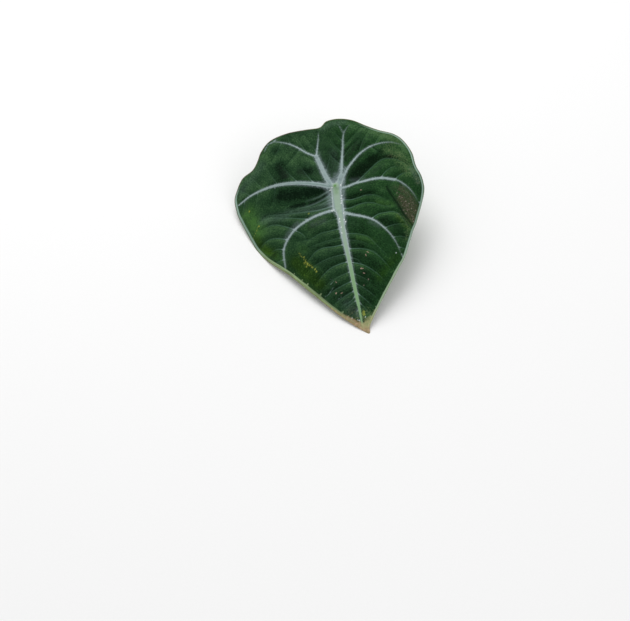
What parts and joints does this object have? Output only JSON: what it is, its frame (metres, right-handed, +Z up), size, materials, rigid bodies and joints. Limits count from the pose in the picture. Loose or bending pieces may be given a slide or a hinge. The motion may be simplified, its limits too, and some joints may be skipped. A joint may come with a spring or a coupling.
{
  "type": "alocasia leaf",
  "caption": "Picked heart-shaped leaf lying face up, its thick waved blade raised in panels between stout ribs and its cut stalk bent back beneath it, for plant and still-life scenes.",
  "frame": {"origin": "middle of the foot of the leaf's box, on the surface that the leaf lies on", "axes": "+Z up, -Y towards the blade's tip, +X to the blade's right as seen from above with the tip towards the viewer"},
  "size_m": [0.1183, 0.177, 0.0494],
  "materials": {
    "blade": "velvety matt dark green with silvery veins",
    "stalk": "satin pale green"
  },
  "bodies": {
    "root": {"leaf_blade": "blade", "leaf_stalk": "stalk"}
  },
  "joints": []
}
